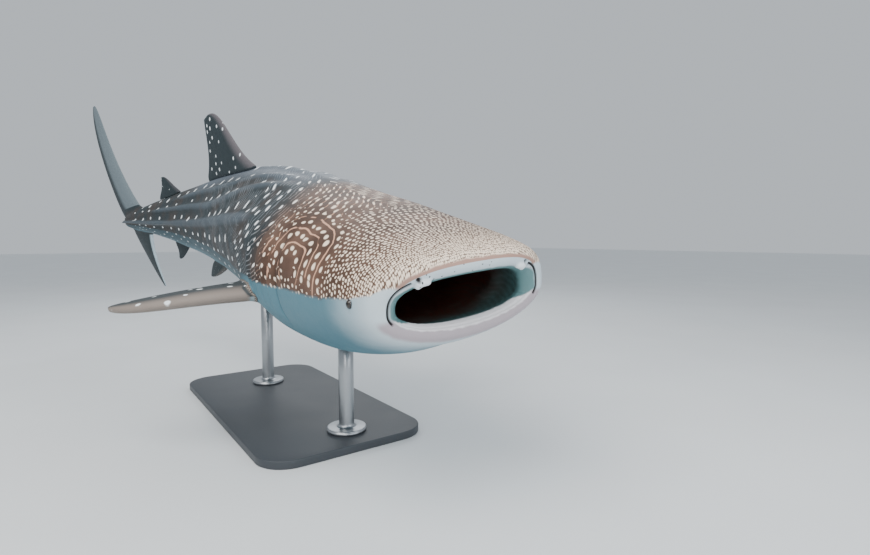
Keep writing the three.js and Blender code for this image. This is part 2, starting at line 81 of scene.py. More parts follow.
tilt = np.array(Matrix.Rotation(math.radians(plan["noseDown"]), 3, "Y")
                @ Matrix.Rotation(math.radians(plan["leftSideUp"]), 3, "X"))
balance = tilt @ onSpine(plan["balanceBack"], plan["balanceLeft"], 0.0)
sharkPlace = np.array([-balance[0] * mil, -balance[1] * mil, plan["snoutHeight"]])


# From mils along the spine to metres in the room: turned as the shark swims, then raised
def inRoom(points):
    return points @ tilt.T * mil + sharkPlace


# Camera at the photo's angle
view = {"azimuth": 54.021, "elevation": 4.312, "pixels": 519.98, "place": (251.557, -219.016, 25.812),
        "frameWidth": 870, "sensor": 36, "reach": 200}
azimuth = math.radians(view["azimuth"])
elevation = math.radians(view["elevation"])
backward = Vector((math.sin(azimuth) * math.cos(elevation), -math.cos(azimuth) * math.cos(elevation),
                   math.sin(elevation)))
camera = bpy.data.objects.new("camera", bpy.data.cameras.new("camera"))
camera.data.lens = view["pixels"] / view["frameWidth"] * view["sensor"]
camera.data.clip_end = view["reach"]
camera.location = sharkPlace + np.array(view["place"]) * mil
camera.rotation_euler = backward.to_track_quat("Z", "Y").to_euler()
bpy.context.scene.collection.objects.link(camera)
bpy.context.scene.camera = camera


# A mesh piece from points and faces, smooth shaded, with its surface values as vector attributes
def makePiece(name, points, faces, values=None, material=None):
    mesh = bpy.data.meshes.new(name)
    mesh.from_pydata(np.asarray(points).tolist(), [], faces)
    mesh.polygons.foreach_set("use_smooth", np.ones(len(mesh.polygons), bool))
    for label, value in (values or {}).items():
        layer = mesh.attributes.new(label, "FLOAT_VECTOR", "POINT")
        layer.data.foreach_set("vector", np.asarray(value, np.float32).ravel())
    if material:
        mesh.materials.append(material)
    mesh.update()
    piece = bpy.data.objects.new(name, mesh)
    bpy.context.scene.collection.objects.link(piece)
    return piece


# A tube of rows closed into rings: quads between the rings, and a fan to a middle point at each end
def ringFaces(rows, columns):
    i, j = np.meshgrid(np.arange(rows - 1), np.arange(columns), indexing="ij")
    nextJ = (j + 1) % columns
    near, far = i * columns, (i + 1) * columns
    quads = np.stack([near + j, near + nextJ, far + nextJ, far + j], -1)
    k = np.arange(columns)
    after = (k + 1) % columns
    start = rows * columns
    last = (rows - 1) * columns
    first = np.stack([np.full(columns, start), after, k], -1)
    end = np.stack([np.full(columns, start + 1), last + k, last + after], -1)
    return quads.reshape(-1, 4).tolist() + first.tolist() + end.tolist()


# Points and faces of a closed tube, turned inside out where its volume comes out negative
def closedTube(grid, values=None):
    rows, columns = grid.shape[:2]
    ends = np.stack([grid[0].mean(axis=0), grid[-1].mean(axis=0)])
    points = np.concatenate([grid.reshape(-1, 3), ends])
    faces = ringFaces(rows, columns)
    corners = points[np.array([face[:3] for face in faces])]
    volume = np.einsum("ij,ij->i", corners[:, 0], np.cross(corners[:, 1], corners[:, 2])).sum()
    if volume < 0:
        faces = [face[::-1] for face in faces]
    carried = {}
    for label, value in (values or {}).items():
        tips = np.stack([value[0].mean(axis=0), value[-1].mean(axis=0)])
        carried[label] = np.concatenate([value.reshape(-1, value.shape[-1]), tips])
    return points, faces, carried


# Cross-sections from the closed end of the throat out through the mouth and back to the tail: distance
# back at top, side and bottom, half width, height at top, side and bottom, squareness above and below
sections = np.array([
    (190, 190, 190, 0, -14, -14, -14, 1, 1),
    (187, 187, 187, 22, -4, -14, -25, 1, 1),
    (165, 165, 165, 46, 6, -15, -38, 0.95, 1),
    (115, 110, 115, 60, 10, -16, -43, 0.9, 1),
    (60, 54, 62, 61, 9, -16, -40, 0.85, 0.95),
    (24, 31, 36, 57, 5.5, -16, -35, 0.8, 0.92),
    (9, 21, 22, 53.5, 3, -15.5, -31, 0.78, 0.92),
    (3, 15, 14.5, 57, 5, -15.5, -32, 0.75, 0.96),
    (0, 12, 11, 62.5, 9, -15.5, -35.5, 0.72, 1),
    (1.5, 13, 13, 69, 14, -15.5, -41, 0.72, 1.02),
    (9, 19, 23, 75, 20.5, -15.5, -47, 0.74, 1.02),
    (30, 38, 42, 78.5, 27, -15, -54.5, 0.8, 1),
    (60, 67, 66, 82, 33, -13, -65, 0.85, 0.97),
    (95, 97, 96, 85, 40, -12, -73, 0.9, 0.93),
    (130, 130, 130, 87.5, 46.5, -11, -78.5, 0.92, 0.93),
    (170, 170, 170, 88, 53.5, -10, -82, 0.95, 0.93),
    (210, 210, 210, 86, 61, -9, -82, 0.97, 0.93),
    (260, 260, 260, 82, 69, -8, -78.5, 1, 0.95),
    (320, 320, 320, 76, 75.5, -6, -71.5, 1, 1),
    (400, 400, 400, 67, 77.5, -3, -63, 1.05, 1),
    (480, 480, 480, 56, 73, 0, -52.5, 1.1, 1),
    (560, 560, 560, 44, 62, 2, -40.5, 1.1, 1),
    (640, 640, 640, 32.5, 47.5, 3, -28, 1.1, 1),
    (700, 700, 700, 25, 36, 3, -19, 1.05, 1),
    (745, 745, 745, 19, 26, 3, -14, 1, 1),
    (780, 780, 780, 14, 20, 2, -12, 1, 1),
    (803, 803, 803, 8, 15, 1, -9, 1, 1),
    (812, 812, 812, 0, 4, 1, -2, 1, 1),
])
lipEdge = 8
skinStart = 10
lastSection = len(sections) - 1
slopes = np.gradient(sections, axis=0)
slopes[0] = sections[1] - sections[0]
slopes[-1] = sections[-1] - sections[-2]


# Sections at any place along the run: a cubic between neighbours with the slopes of the table
def sectionAt(place):
    place = np.atleast_1d(place)
    first = np.clip(np.floor(place).astype(int), 0, lastSection - 1)
    t = (place - first)[:, None]
    return ((2 * t ** 3 - 3 * t ** 2 + 1) * sections[first] + (t ** 3 - 2 * t ** 2 + t) * slopes[first]
            + (3 * t ** 2 - 2 * t ** 3) * sections[first + 1] + (t ** 3 - t ** 2) * slopes[first + 1])


denseRun = np.linspace(skinStart - 1, lastSection, 4000)
denseBack = sectionAt(denseRun)[:, 1]


# The place along the run whose side lies this far back on the outer skin
def placeAt(back):
    return np.interp(back, denseBack, denseRun)


# Long ridges: the course of each as pairs of distance back and angle, where it rises and fades, its height
# and half width. The lowest becomes the tail keel.
ridges = [
    {"course": [(140, 0), (800, 0)], "rise": (205, 260), "fade": (400, 440), "height": 3.2, "spread": 5},
    {"course": [(140, 29), (230, 11), (283, 18), (351, 31), (400, 38), (455, 42), (700, 42), (790, 29)],
     "rise": (215, 290), "fade": (560, 650), "height": 3.4, "spread": 4.6},
    {"course": [(140, 53), (230, 23), (283, 33), (351, 48), (400, 55), (455, 60), (700, 60), (790, 53)],
     "rise": (205, 280), "fade": (640, 720), "height": 3.6, "spread": 4.6},
    {"course": [(140, 84), (230, 56), (310, 66), (402, 73), (524, 80), (609, 84), (700, 88), (780, 90),
                (800, 84)],
     "rise": (200, 280), "fade": (768, 808), "height": 4.2, "spread": 5, "keel": 1.9},
]
keelRun = (600, 760)
fullRidge = 3.5
gills = {"count": 5, "start": 136, "pitch": 14, "crest": 2.6, "groove": 2.2, "cleft": 1.4, "heel": 0.4,
         "from": (54, 66), "to": (108, 122)}
arches = {"places": (2.4, 3.2, 4.0), "height": 3.4, "spread": 0.2, "from": (20, 34), "to": (120, 136)}


# The angle of a ridge at a distance back, in straight steps along its course
def courseAngle(ridge, back):
    return np.interp(back, *zip(*ridge["course"]))


# Sum of bells across the ridges, each swelling in and out along the body
def ridgeLift(back, angle):
    lift = 0
    for ridge in ridges:
        shown = smooth(*ridge["rise"], back) * (1 - smooth(*ridge["fade"], back))
        growth = 1 + ridge.get("keel", 0) * smooth(*keelRun, back)
        crest = bell(angle, courseAngle(ridge, back), ridge["spread"])
        lift = lift + ridge["height"] * growth * shown * crest
    return lift


# A count that is whole on the ridges and runs evenly between them, from 0 at the top to 6 at the bottom
def ridgeCount(back, angle):
    count = 0
    stops = [courseAngle(ridge, back) for ridge in ridges] + [180.0]
    for low, high, gain in zip(stops[:-1], stops[1:], (1, 1, 1, 3)):
        count = count + gain * np.clip((angle - low) / (high - low), 0, 1)
    return count


# Height of the gill flaps and the share of the cleft, which is painted dark as shade: each flap climbs from
# its cleft to a round crest
def gillShape(back, angle):
    along = (back - gills["start"]) / gills["pitch"]
    share = along - np.floor(along)
    within = (along > 0) & (along < gills["count"])
    openness = smooth(*gills["from"], angle) * (1 - smooth(*gills["to"], angle)) * within
    cleft = gills["cleft"] / gills["pitch"]
    climb = np.clip((share - cleft) / (1 - cleft), 0, 1)
    heel = gills["groove"] * gills["heel"]
    rise = -heel + (gills["crest"] + heel) * climb ** 0.8
    deep = 1 - smooth(cleft * 0.5, cleft * 1.6, np.abs(share - cleft * 0.6))
    return openness * (rise * (1 - deep) - gills["groove"] * deep), openness * deep


# Low folds across the walls of the throat
def archLift(place, angle):
    openness = smooth(*arches["from"], angle) * (1 - smooth(*arches["to"], angle))
    folds = sum(bell(place, middle, arches["spread"]) for middle in arches["places"])
    return -arches["height"] * openness * folds


# The angle from the top down either side, 0 to 180
def foldAngle(angle):
    return np.abs((angle + 540) % 360 - 180)


# The body's skin: a superellipse through each section's top, side and bottom, leaning with its distances
# back and lifted by ridges, gill flaps and arches. Returns mils along the spine, before the bend.
def skinPlaces(place, angle):
    parts = sectionAt(np.ravel(place)).reshape(np.shape(place) + sections.shape[1:])
    (topBack, sideBack, bottomBack, halfWidth, top, side, bottom,
     squareTop, squareBottom) = np.moveaxis(parts, -1, 0)
    across = np.sin(np.radians(angle))
    upward = np.cos(np.radians(angle))
    isTop = upward > 0
    back = sideBack + (np.where(isTop, topBack, bottomBack) - sideBack) * upward ** 2
    power = np.where(isTop, squareTop, squareBottom)
    reach = np.where(isTop, top - side, side - bottom)
    right = halfWidth * np.sign(across) * np.abs(across) ** power
    above = reach * np.sign(upward) * np.abs(upward) ** power
    fold = foldAngle(angle)
    outside = smooth(skinStart, skinStart + 2, place)
    flaps, cleftShade = gillShape(back, fold)
    lift = outside * (ridgeLift(back, fold) + flaps) + archLift(place, fold) * (place < lipEdge)
    length = np.maximum(np.hypot(right, above), 1e-9)
    right = right + lift * right / length
    above = above + lift * above / length
    return back, -right, side + above, outside * cleftShade


# One point of the skin in the room
def skinPoint(place, angle):
    back, left, up, _ = skinPlaces(np.array([[float(place)]]), np.array([[float(angle)]]))
    return inRoom(onSpine(back, left, up))[0, 0]


# The way out of the skin, from two small steps along and round the body
def skinNormal(place, angle):
    along = skinPoint(place + 0.02, angle) - skinPoint(place - 0.02, angle)
    around = skinPoint(place, angle + 0.5) - skinPoint(place, angle - 0.5)
    normal = np.cross(along, around)
    return normal / np.linalg.norm(normal)


# Values in even runs: each stop is where a run starts and its number of steps to the next stop
def evenRuns(*stops):
    runs = [np.linspace(low, high, steps, endpoint=False)
            for (low, steps), (high, _) in zip(stops[:-1], stops[1:])]
    return np.concatenate(runs + [stops[-1][:1]])


# Rows are close together at the lips, the eyes and the gills, and columns at the nostrils, eyes and ridges
skinRows = np.concatenate([
    evenRuns((0.04, 45), (6, 83), (11, 0))[:-1],
    placeAt(evenRuns((38, 43), (134, 73), (208, 25), (330, 65), (811.6, 0))),
])
halfCircle = evenRuns((0, 15), (30, 16), (47, 17), (76, 22), (93, 16), (120, 20), (180, 0))
skinColumns = np.concatenate([halfCircle, 360 - halfCircle[1:-1][::-1]])

eye = {"place": 10.78, "angle": 85, "radius": 0.0265, "sunk": 0.010, "rim": 0.0045, "rimRadius": 0.03,
       "rimWidth": 0.009, "hollow": 0.016, "hollowEdge": (0.012, 0.025), "fit": 0.985, "cornea": 0.02}
furrowAngles = np.linspace(47, 106, 25)
furrowPlaces = np.interp(furrowAngles, (47, 60, 75, 90, 106), (7.95, 8.05, 8.1, 8.1, 8.05))
# Each form lies on a line of places and angles. Its full height and its mark fade out between shares of
# its radius: the hollows get a dark mark of painted shade, the raised flap a white one.
headForms = {
    "nostril": {"places": (8, 8), "angles": (39, 39), "radius": 0.017, "height": -0.017, "top": 0.35,
                "mark": (0.5, 0.95)},
    "flap": {"places": (7.2, 7.5, 7.35), "angles": (43, 40, 34), "radius": 0.028, "height": 0.02,
             "top": 0.25, "mark": (0.5, 0.9)},
    "spiracle": {"places": (11.64, 11.64), "angles": (85, 85), "radius": 0.012, "height": -0.009,
                 "top": 0.3, "mark": (0.4, 0.9)},
    "furrow": {"places": furrowPlaces, "angles": furrowAngles, "radius": 0.011, "height": -0.01,
               "top": 0.2, "mark": (0.4, 1)},
}
folds = {"lipRipple": 0.0022, "lipEdge": 0.003, "throat": 0.004, "swell": 0.0035}


# Distance of every skin point from a line of points
def lineDistance(grid, stops):
    best = np.full(grid.shape[:2], 1e9)
    for start, end in zip(stops[:-1], stops[1:]):
        step = end - start
        share = np.clip(((grid - start) @ step) / max(step @ step, 1e-12), 0, 1)
        best = np.minimum(best, np.linalg.norm(grid - start - share[..., None] * step, axis=-1))
    return best


# Outward normals of a grid that closes on itself along its columns
def gridNormals(grid):
    along = np.gradient(grid, axis=0)
    around = np.roll(grid, -1, axis=1) - np.roll(grid, 1, axis=1)
    normal = np.cross(along, around)
    return normal / np.maximum(np.linalg.norm(normal, axis=-1, keepdims=True), 1e-12)


# The small forms of the head, as heights along the normal: a soft rim and hollow for each eye, nostrils
# with their flaps, breathing holes, furrows round the corners of the mouth, and folds of the lips
def skinDetail(grid, place, angle, back):
    height = np.zeros(grid.shape[:2])
    marks = {"hollowShade": np.zeros(grid.shape[:2]), "pale": np.zeros(grid.shape[:2])}
    for side in (1, -1):
        away = np.linalg.norm(grid - skinPoint(eye["place"], side * eye["angle"]), axis=-1)
        rim = bell(away, eye["rimRadius"], eye["rimWidth"])
        height += eye["rim"] * rim - eye["hollow"] * (1 - smooth(*eye["hollowEdge"], away))
        for form in headForms.values():
            stops = [skinPoint(run, side * turn) for run, turn in zip(form["places"], form["angles"])]
            away = lineDistance(grid, stops) / form["radius"]
            height += form["height"] * (1 - smooth(form["top"], 1, away))
            # Hollows get a dark mark, painted shade in the nostrils, breathing holes and furrows; the flap
            # gets a white one
            tone = "pale" if form["height"] > 0 else "hollowShade"
            marks[tone] = np.maximum(marks[tone], 1 - smooth(*form["mark"], away))
    # Ripples of the lower lip and soft folds of its inner edge
    ripple = np.sin(np.radians(angle) * 46 + 1.4 * np.sin(place * 3.1))
    height += smooth(96, 112, angle) * bell(place, 6.9, 0.7) * folds["lipRipple"] * ripple
    height += smooth(100, 120, angle) * folds["lipEdge"] * (bell(place, 6.3, 0.16) - bell(place, 7.1, 0.2))
    # Filter folds across the throat
    throat = (1 - smooth(4.6, 5.6, place)) * folds["throat"] * np.sin(place * 22)
    height += throat * smooth(15, 40, angle) * (1 - smooth(130, 165, angle))
    # Slow swells of flesh under the skin, larger behind the head
    swell = np.sin(back * 0.043 + angle * 0.031) * np.sin(back * 0.021 - angle * 0.067 + 1.3)
    swell = folds["swell"] * swell * smooth(60, 160, back) * (1 - smooth(640, 760, back))
    height += swell * (place > skinStart)
    return height, marks["hollowShade"], marks["pale"]


# Where the spotted upper side ends and the pale belly begins, and where the upper lip's pale band ends
bellyBorder = np.array([(0, 50), (8, 57), (16, 74), (33, 82), (67, 88.5), (110, 90.5), (168, 93.5), (230, 97),
                        (320, 101), (450, 104), (600, 106), (700, 108), (800, 110)])
lipBorder = np.array([(0, 8.55), (25, 8.45), (45, 8.3), (57, 8.15), (70, 7.9), (90, 7.9), (180, 7.9)])
# Counts of ridges at which the rows of white spots run, and where the lining of the mouth meets the lips
spotRows = np.array([(0, 0), (0.8, 1), (1.62, 2), (2.68, 3), (3.42, 4), (3.75, 5), (6, 12)])
liningBorder = np.array([(0, 7.1), (40, 7.15), (58, 7.5), (72, 7.95), (96, 7.95), (108, 7.3), (125, 6.3),
                         (180, 6.1)])


# The whole body with the values that its colours follow
def bodyGrid():
    place, angle = np.meshgrid(skinRows, skinColumns, indexing="ij")
    back, left, up, cleft = skinPlaces(place, angle)
    grid = inRoom(onSpine(back, left, up))
    fold = foldAngle(angle)
    steps = np.linalg.norm(np.diff(grid[:, :len(halfCircle)], axis=1), axis=-1) / mil
    half = np.concatenate([np.zeros((len(skinRows), 1)), np.cumsum(steps, axis=1)], axis=1)
    girth = np.concatenate([half, -half[:, 1:-1][:, ::-1]], axis=1)
    height, hollowShade, pale = skinDetail(grid, place, fold, back)
    grid = grid + gridNormals(grid) * height[..., None]
    border = np.interp(back, *bellyBorder.T)
    radius = half[:, -1:] / np.pi
    upperSide = np.radians(border - fold) * radius
    outer = place - np.interp(fold, *lipBorder.T)
    # Ridge height as a share, from which a painted highlight is laid on the ridges
    ridge = ridgeLift(back, fold) / fullRidge * smooth(skinStart, skinStart + 2, place)
    row = np.interp(ridgeCount(back, fold), *spotRows.T)
    lining = place - np.interp(fold, *liningBorder.T)
    values = {
        "skinPlace": np.stack([back, girth, fold], -1),
        "borders": np.stack([upperSide, outer, place], -1),
        "relief": np.stack([ridge, cleft, hollowShade], -1),
        "rows": np.stack([row, lining, pale], -1),
        "finPlace": np.zeros(grid.shape),
        "finKind": np.zeros(grid.shape),
        "kept": np.ones(grid.shape),
    }
    return grid, values


# Bezier curve through control points, by the Bernstein sum
def bezier(points, t):
    order = len(points) - 1
    weights = [math.comb(order, k) * (1 - t) ** (order - k) * t ** k for k in range(order + 1)]
    return np.stack(weights, -1) @ np.array(points, float)


wedgePower = 0.9
thickestAt = 0.5 / (0.5 + wedgePower)


# The wedge before it is scaled: a root of the share from the front, times a power of the share left
def bareWedge(u):
    return np.sqrt(u) * (1 - u) ** wedgePower


# Half thickness across a fin: a round front that thins to the trailing edge, 1 at its thickest
def wedge(u):
    return bareWedge(u) / bareWedge(thickestAt)


fins = {
    "dorsal_fin_first": {
        "lead": [(350, 2), (412, 12), (452, 8), (486, 60), (501, 94), (535, 86)],
        "trail": [(562, -16), (562, -2), (537, 16), (548, 50), (548, 80)],
        "thick": 5.5, "foot": 520, "kind": (1, 0, 0), "flare": 0.4},
    "dorsal_fin_second": {
        "lead": [(598, 0), (636, 6), (652, 14), (664, 31), (679, 31)],
        "trail": [(701, -10), (699, 2), (683, 8), (685, 22), (685, 30)],
        "thick": 2.6, "foot": 667, "kind": (0.4, 0, 0)},
    "anal_fin": {
        "lead": [(606, 10), (628, -8), (640, -20), (652, -31), (660, -30)],
        "trail": [(670, 10), (674, -6), (658, -12), (662, -22), (663, -28)],
        "thick": 2.4, "foot": -662, "kind": (0, 0, 0)},
    "caudal_fin_upper": {
        "lead": [(735, 6), (770, 24), (850, 105), (918, 165), (996, 216), (1003, 214)],
        "trail": [(802, -8), (836, 22), (862, 80), (940, 140), (985, 185), (1006, 211)],
        "thick": 6.5, "taper": 0.8, "reach": 210, "bend": 1.8, "kind": (0, 0, 1)},
    "caudal_fin_lower": {
        "lead": [(728, -2), (764, -40), (794, -84), (826, -128), (831, -129)],
        "trail": [(798, 2), (800, -22), (802, -66), (828, -105), (834, -127)],
        "thick": 4.8, "taper": 0.8, "reach": 128, "bend": 1.3, "kind": (0, 0, -1)},
}
pairedFins = {
    "pectoral_fin": {
        "root": (198, 0.855, 0.3), "reachTo": (256, 190, -42), "sag": 3,
        "lead": [(-12, -0.12), (0, 0.15), (-14, 0.55), (-14, 0.88), (20, 1), (30, 1)],
        "trail": [(76, -0.12), (50, 0.15), (34, 0.55), (44, 0.8), (46, 0.97), (32, 1)],
        "thick": 8, "tip": 0.8, "kind": (0, 1, 0)},
    "pelvic_fin": {
        "root": (456, 0.55, 0.82), "reachTo": (464, 37, -62), "sag": 0,
        "lead": [(-6, -0.3), (6, 0.3), (16, 0.8), (30, 1), (36, 1)],
        "trail": [(50, -0.3), (50, 0.3), (44, 0.7), (44, 0.95), (40, 1)],
        "thick": 2.6, "taper": 0.7, "kind": (0, 0.3, 0)},
}
finSteps = {"span": 44, "chord": 22}
usualFin = {"tip": 0.5, "taper": 0.6, "flare": 0}
pairedSpan = 120  # mils that the rows of spots count along the span of a paired fin
finBorders = (40.0, 4.0, 14.0)  # on the fins, past every border and row of the body
finRows = (8.0, 8.0, 0.0)


# A fin's grid: sections from root to tip between the leading and trailing curves, each a closed loop over
# the upper face and back under the lower. The place function sets chord, span and side into the room.
def finGrid(fin, place):
    fin = usualFin | fin
    out = np.linspace(0, 1, finSteps["span"])
    front, rear = bezier(fin["lead"], out), bezier(fin["trail"], out)
    u = 0.5 - 0.5 * np.cos(np.linspace(0, np.pi, finSteps["chord"] + 1))
    loop = np.concatenate([u, u[1:-1][::-1]])
    face = np.concatenate([np.ones(len(u)), -np.ones(len(u) - 2)])
    thick = fin["thick"] * (1 - out) ** fin["taper"] + fin["tip"]
    thick = thick * (1 + fin["flare"] * bell(out, 0, 0.16))
    outline = front[:, None] + (rear - front)[:, None] * loop[None, :, None]
    side = thick[:, None] * (face * wedge(loop))[None]
    grid = inRoom(place(outline[..., 0], outline[..., 1], side))
    share = np.broadcast_to(loop, side.shape)
    span = np.broadcast_to(out[:, None], side.shape)
    upright = "foot" in fin or "reach" in fin
    along = outline[..., 1] * (1 if upright else pairedSpan)
    values = {
        "skinPlace": np.stack([outline[..., 0], along, np.broadcast_to(face, side.shape)], -1),
        "borders": np.broadcast_to(finBorders, grid.shape),
        "relief": np.zeros(grid.shape),
        "rows": np.broadcast_to(finRows, grid.shape),
        "finPlace": np.stack([share, span, np.ones(side.shape)], -1),
        "finKind": np.broadcast_to(np.array(fin["kind"], float), grid.shape),
        "kept": np.ones(grid.shape),
    }
    return grid, values


# Upright fins stand on the top or bottom line, and the tail's lobes lean to the left towards their tips
def uprightPlace(fin):
    foot = 0
    if "foot" in fin:
        row = sectionAt(placeAt(abs(fin["foot"])))[0]
        foot = row[4] if fin["foot"] > 0 else row[6]

    def place(back, out, side):
        lean = plan["tipFlex"] * (np.abs(out) / fin["reach"]) ** fin["bend"] if "reach" in fin else 0
        return onSpine(back, side + lean, foot + out)
    return place


# Paired fins slant outwards from a root inside the body
def slantedPlace(fin, hand):
    rootBack, outShare, downShare = fin["root"]
    row = sectionAt(placeAt(rootBack))[0]
    rootLeft, rootUp = row[3] * outShare, row[5] - (row[5] - row[6]) * downShare
    tipBack, tipLeft, tipUp = fin["reachTo"]
    acrossSpan, downSpan = tipLeft - rootLeft, tipUp - rootUp
    span = math.hypot(acrossSpan, downSpan)

    def place(back, out, side):
        left = rootLeft + acrossSpan * out - downSpan / span * side
        sag = fin["sag"] * np.sin(np.pi * np.clip(out, 0, 1))
        up = rootUp + downSpan * out + acrossSpan / span * side + sag
        return onSpine(rootBack + (tipBack - rootBack) * out + back, hand * left, up)
    return place


# Body and fins are fused, then the corner between them is rounded: points near the seam move towards the
# mean of their neighbours, less and less with their distance from it
def fuseSkin():
    grid, values = bodyGrid()
    body = makePiece("skin", *closedTube(grid, values))
    cutters = bpy.data.collections.new("fins")
    bpy.context.scene.collection.children.link(cutters)
    forms = [(name, fin, uprightPlace(fin)) for name, fin in fins.items()]
    for name, fin in pairedFins.items():
        forms += [(name, fin, slantedPlace(fin, hand)) for hand in (1, -1)]
    loose = []
    for name, fin, place in forms:
        part = makePiece(name + "_form", *closedTube(*finGrid(fin, place)))
        bpy.context.scene.collection.objects.unlink(part)
        cutters.objects.link(part)
        loose.append(part)
    union = body.modifiers.new("union", "BOOLEAN")
    union.operation = "UNION"
    union.operand_type = "COLLECTION"
    union.collection = cutters
    union.solver = "MANIFOLD"
    fused = bpy.data.meshes.new_from_object(body.evaluated_get(bpy.context.evaluated_depsgraph_get()))
    body.modifiers.clear()
    body.data = fused
    for part in loose:
        bpy.data.objects.remove(part)
    bpy.data.collections.remove(cutters)
    roundSeam(fused)
    return body


seam = {"reach": 0.085, "passes": 26, "strength": 0.6, "power": 1.2, "rings": 24, "fillRings": 6,
        "softPasses": 8}


# A mesh's vectors as one array of rows
def readVectors(data, field, count):
    flat = np.empty(count * 3, np.float32)
    data.foreach_get(field, flat)
    return flat.reshape(-1, 3).astype(float)


def writeVectors(data, field, values):
    data.foreach_set(field, values.astype(np.float32).ravel())


# Mean of each point's neighbours, by adding along all edges at once
def neighbourMean(edges, values, weight):
    total = np.zeros_like(values)
    count = np.zeros(len(values))
    for a, b in ((0, 1), (1, 0)):
        share = weight[edges[:, b]]
        for k in range(values.shape[1]):
            total[:, k] += np.bincount(edges[:, a], values[edges[:, b], k] * share, len(values))
        count += np.bincount(edges[:, a], share, len(values))
    return total / np.maximum(count, 1e-9)[:, None], count


# Each pass moves the values towards the mean of their neighbours, by their weight
def relax(values, edges, weight, passes):
    near = weight > 0
    for _ in range(passes):
        mean, _ = neighbourMean(edges, values, np.ones(len(values)))
        values[near] += (mean[near] - values[near]) * weight[near, None]


# Points made by the union take their values from their neighbours, then the seam is rounded in passes
def roundSeam(mesh):
    count = len(mesh.vertices)
    points = readVectors(mesh.vertices, "co", count)
    edges = np.empty(len(mesh.edges) * 2, np.int32)
    mesh.edges.foreach_get("vertices", edges)
    edges = edges.reshape(-1, 2)
    kept = readVectors(mesh.attributes["kept"].data, "vector", count)[:, 0] > 0.5
    length = np.linalg.norm(points[edges[:, 0]] - points[edges[:, 1]], axis=1)
    away = np.where(kept, 1e3, 0.0)
    for _ in range(seam["rings"]):
        reached = away.copy()
        np.minimum.at(reached, edges[:, 0], away[edges[:, 1]] + length)
        np.minimum.at(reached, edges[:, 1], away[edges[:, 0]] + length)
        away = reached
    fin = None
    for label in ("skinPlace", "borders", "relief", "rows", "finPlace", "finKind"):
        layer = mesh.attributes[label].data
        value = readVectors(layer, "vector", count)
        known = kept.copy()
        for _ in range(seam["fillRings"]):
            mean, found = neighbourMean(edges, value, known.astype(float))
            fill = ~known & (found > 0)
            value[fill] = mean[fill]
            known |= fill
        if label == "finPlace":
            fin = value
        writeVectors(layer, "vector", value)
    weight = np.clip(1 - away / seam["reach"], 0, 1) ** seam["power"] * seam["strength"]
    edges = edges[(weight[edges] > 0).any(axis=1)]
    relax(points, edges, weight, seam["passes"])
    writeVectors(mesh.vertices, "co", points)
    relax(fin[:, 2:], edges, weight, seam["softPasses"])
    writeVectors(mesh.attributes["finPlace"].data, "vector", fin)
    mesh.polygons.foreach_set("use_smooth", np.ones(len(mesh.polygons), bool))
    mesh.update()


# Shader expressions: a wire is an output socket, and sums on wires add Math nodes
class Wire:
    def __init__(self, paint, socket):
        self.paint = paint
        self.socket = socket

    def at(self, output):
        return Wire(self.paint, self.socket.node.outputs[output])

    def math(self, operation, *others):
        return self.paint.math(operation, self, *others)

    def __add__(self, other):
        return self.math("ADD", other)

    def __sub__(self, other):
        return self.math("SUBTRACT", other)

    def __mul__(self, other):
        return self.math("MULTIPLY", other)

    def __truediv__(self, other):
        return self.math("DIVIDE", other)

    def __radd__(self, other):
        return self.paint.math("ADD", other, self)

    def __rsub__(self, other):
        return self.paint.math("SUBTRACT", other, self)

    def __rmul__(self, other):
        return self.paint.math("MULTIPLY", other, self)

    def __rtruediv__(self, other):
        return self.paint.math("DIVIDE", other, self)

    def __abs__(self):
        return self.math("ABSOLUTE")


# A material and the ways to add its nodes
class Paint:
    def __init__(self, name, **fixed):
        self.material = bpy.data.materials.new(name)
        self.material.use_nodes = True
        self.tree = self.material.node_tree
        self.shader = self.tree.nodes["Principled BSDF"]
        for socket, value in fixed.items():
            self.shader.inputs[socket.replace("_", " ")].default_value = value

    def node(self, kind, settings, sockets, output=0):
        node = self.tree.nodes.new(kind)
        for name, value in settings.items():
            setattr(node, name, value)
        for name, value in sockets.items():
            if isinstance(value, Wire):
                self.tree.links.new(value.socket, node.inputs[name])
            else:
                node.inputs[name].default_value = value
        return Wire(self, node.outputs[output])

    def math(self, operation, *values):
        return self.node("ShaderNodeMath", {"operation": operation}, dict(enumerate(values)))

    def vector(self, operation, first, second):
        output = "Value" if operation == "LENGTH" else "Vector"
        return self.node("ShaderNodeVectorMath", {"operation": operation}, {0: first, 1: second}, output)

    def fade(self, low, high, x):
        return self.node("ShaderNodeMapRange", {"interpolation_type": "SMOOTHSTEP"},
                         {"Value": x, "From Min": low, "From Max": high, "To Min": 0.0, "To Max": 1.0})

    def fall(self, low, high, x):
        return 1 - self.fade(low, high, x)

    def blend(self, factor, first, second):
        return self.node("ShaderNodeMix", {"data_type": "RGBA"}, {0: factor, 6: first, 7: second}, 2)

    # Coats of colour over a ground, each a mask and its colour
    def layers(self, ground, *coats):
        for mask, coat in coats:
            ground = self.blend(mask, ground, coat)
        return ground

    def most(self, first, *others):
        for other in others:
            first = self.math("MAXIMUM", first, other)
        return first

    def join(self, x, y, z=0.0):
        return self.node("ShaderNodeCombineXYZ", {}, {0: x, 1: y, 2: z})

    def split(self, vector):
        parts = self.node("ShaderNodeSeparateXYZ", {}, {0: vector})
        return parts.at("X"), parts.at("Y"), parts.at("Z")

    def value(self, name):
        return self.split(self.node("ShaderNodeAttribute", {"attribute_name": name}, {}, "Vector"))

    def coords(self):
        return self.node("ShaderNodeTexCoord", {}, {}, "Object")

    def noise(self, vector, scale, detail=2.0, roughness=0.5):
        return self.node("ShaderNodeTexNoise", {}, {"Vector": vector, "Scale": scale, "Detail": detail,
                                                    "Roughness": roughness})

    def feed(self, socket, value):
        self.tree.links.new(value.socket, self.shader.inputs[socket])

    def bump(self, height, distance, strength=1.0):
        self.feed("Normal", self.node("ShaderNodeBump", {}, {"Height": height, "Distance": distance,
                                                             "Strength": strength}))


